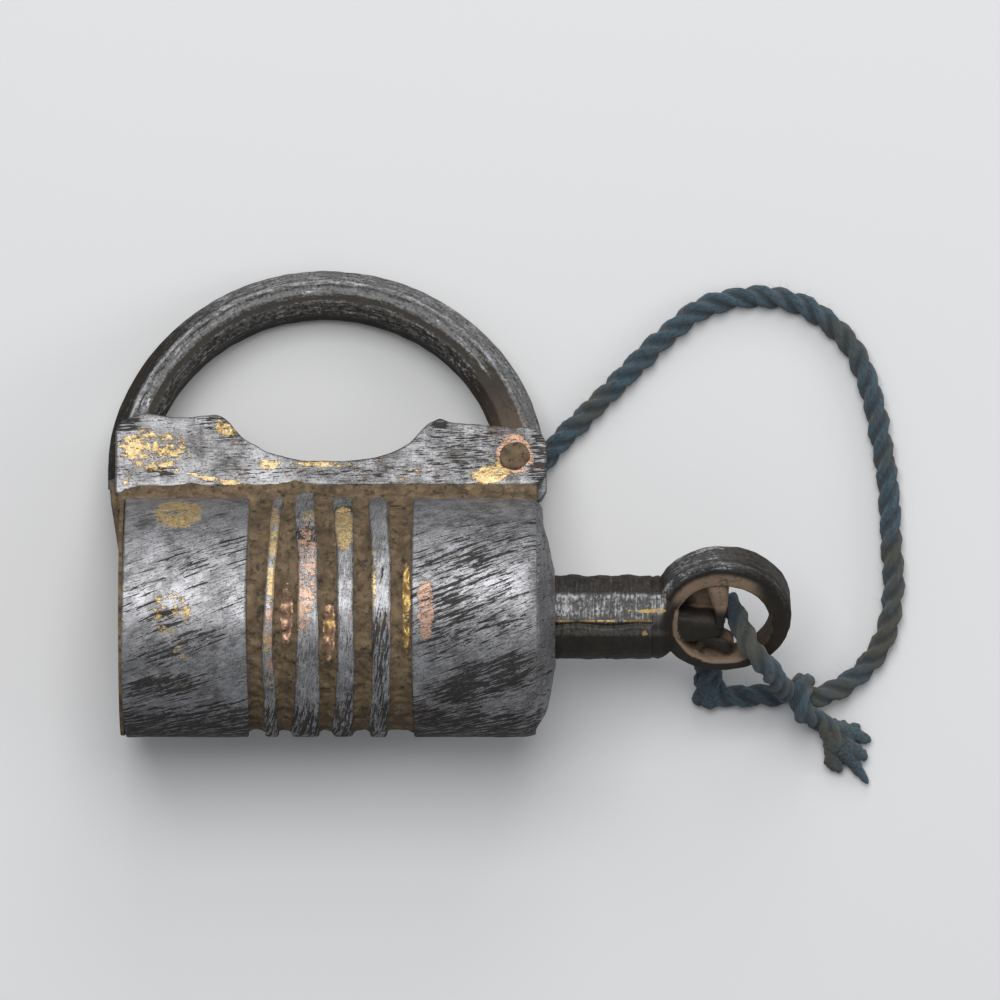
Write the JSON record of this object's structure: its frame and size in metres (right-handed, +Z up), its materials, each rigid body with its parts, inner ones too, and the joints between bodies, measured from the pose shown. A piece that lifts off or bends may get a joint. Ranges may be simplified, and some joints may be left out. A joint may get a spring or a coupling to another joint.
{
  "type": "screw-key barrel padlock",
  "caption": "Rusty iron barrel padlock with a riveted swinging shackle, a screw key in its end that draws the bolt, and a blue cord tied to the key.",
  "frame": {"origin": "on the surface that the lock lies on, under the middle of the lock and key without the cord", "axes": "+X along the barrel from the closed end to the key, +Y towards the shackle, +Z up, out of the lock's front"},
  "size_m": [0.1602, 0.1029, 0.048],
  "materials": {
    "polished_iron": "worn bright iron with dark scratches and brass-coloured braze patches",
    "ringed_iron": "worn iron rings with copper and brass residue and rusty flanks",
    "rusty_iron": "dull rust-brown iron",
    "dark_iron": "dark forged iron, speckled where worn bright",
    "blue_cord": "dusty blue twisted cotton with brown stains"
  },
  "bodies": {
    "lock_body": {"barrel_tube": "rusty_iron", "left_band": "polished_iron", "right_band": "polished_iron", "ring_1": "ringed_iron", "ring_2": "ringed_iron", "ring_3": "ringed_iron", "ring_4": "ringed_iron", "left_end_cap": "polished_iron", "right_end_cap": "polished_iron", "key_guide_sleeve": "rusty_iron", "saddle_block": "rusty_iron", "front_cheek": "polished_iron", "rear_cheek": "polished_iron", "hinge_rivet": "rusty_iron", "pin_guide_plate": "rusty_iron", "thrust_plate": "rusty_iron", "bolt_spring": "rusty_iron"},
    "shackle": {"shackle": "dark_iron"},
    "bolt": {"bolt_carrier": "dark_iron", "locking_pin": "dark_iron", "worm_post": "dark_iron"},
    "cord_run": {"cord": "blue_cord", "cord_knot": "blue_cord", "cord_bow_loop": "blue_cord", "cord_frayed_end": "blue_cord"},
    "key": {"key_tube": "dark_iron", "key_plug": "dark_iron", "key_bow": "dark_iron"}
  },
  "joints": [
    {"name": "shackle_swing", "type": "hinge", "parent": "lock_body", "child": "shackle", "pos_m": [0.01314, 0.00754, 0.01503], "axis": [0, -0.2866, -0.9581], "range_deg": [0, 60]},
    {"name": "key_withdraw", "type": "slide", "parent": "lock_body", "child": "cord_run", "axis": [1, 0, 0], "range_m": [0, 0.036]},
    {"name": "key_turn", "type": "hinge", "parent": "cord_run", "child": "key", "pos_m": [0.04, -0.02244, 0.024], "axis": [1, 0, 0], "range_deg": [0, 720], "deforming": ["cord_bow_loop"]},
    {"name": "bolt_slide", "type": "slide", "parent": "lock_body", "child": "bolt", "axis": [1, 0, 0], "range_m": [-0.0081, 0], "deforming": ["bolt_spring"]}
  ],
  "couplings": [
    {"joint": "bolt_slide", "follows": "key_turn", "m_per_rad": -0.00063662}
  ]
}
